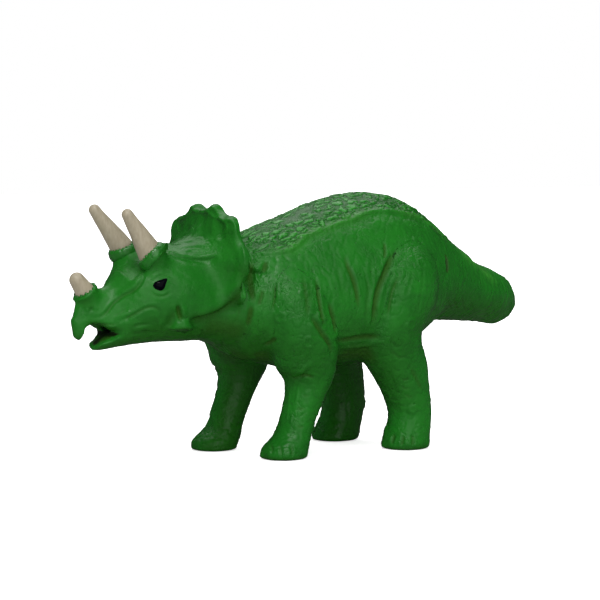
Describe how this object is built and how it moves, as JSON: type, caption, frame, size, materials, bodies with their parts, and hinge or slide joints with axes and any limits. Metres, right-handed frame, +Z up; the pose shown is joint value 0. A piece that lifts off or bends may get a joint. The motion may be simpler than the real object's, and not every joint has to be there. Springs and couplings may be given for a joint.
{
  "type": "toy dinosaur figure",
  "caption": "Moulded plastic toy horned dinosaur with a neck frill, blunt horns, an open beak and a tapering tail, standing on four feet in a fixed walking pose.",
  "frame": {"origin": "on the floor, under the middle of the figure's bounding box", "axes": "+Z up; the beak points along -X and the tail along +X; the animal's right side is +Y"},
  "size_m": [0.193, 0.061, 0.0858],
  "materials": {
    "green_skin": "painted green, semi-gloss on the raised scales, darker in the creases",
    "horn_cream": "painted cream, satin",
    "eye_black": "gloss black"
  },
  "bodies": {
    "root": {"torso": "green_skin", "head": "green_skin", "lower_jaw": "green_skin", "front_leg_left": "green_skin", "front_leg_right": "green_skin", "hind_leg_left": "green_skin", "hind_leg_right": "green_skin", "tail": "green_skin", "nose_horn": "horn_cream", "brow_horn_left": "horn_cream", "brow_horn_right": "horn_cream", "eye_left": "eye_black", "eye_right": "eye_black"}
  },
  "joints": []
}
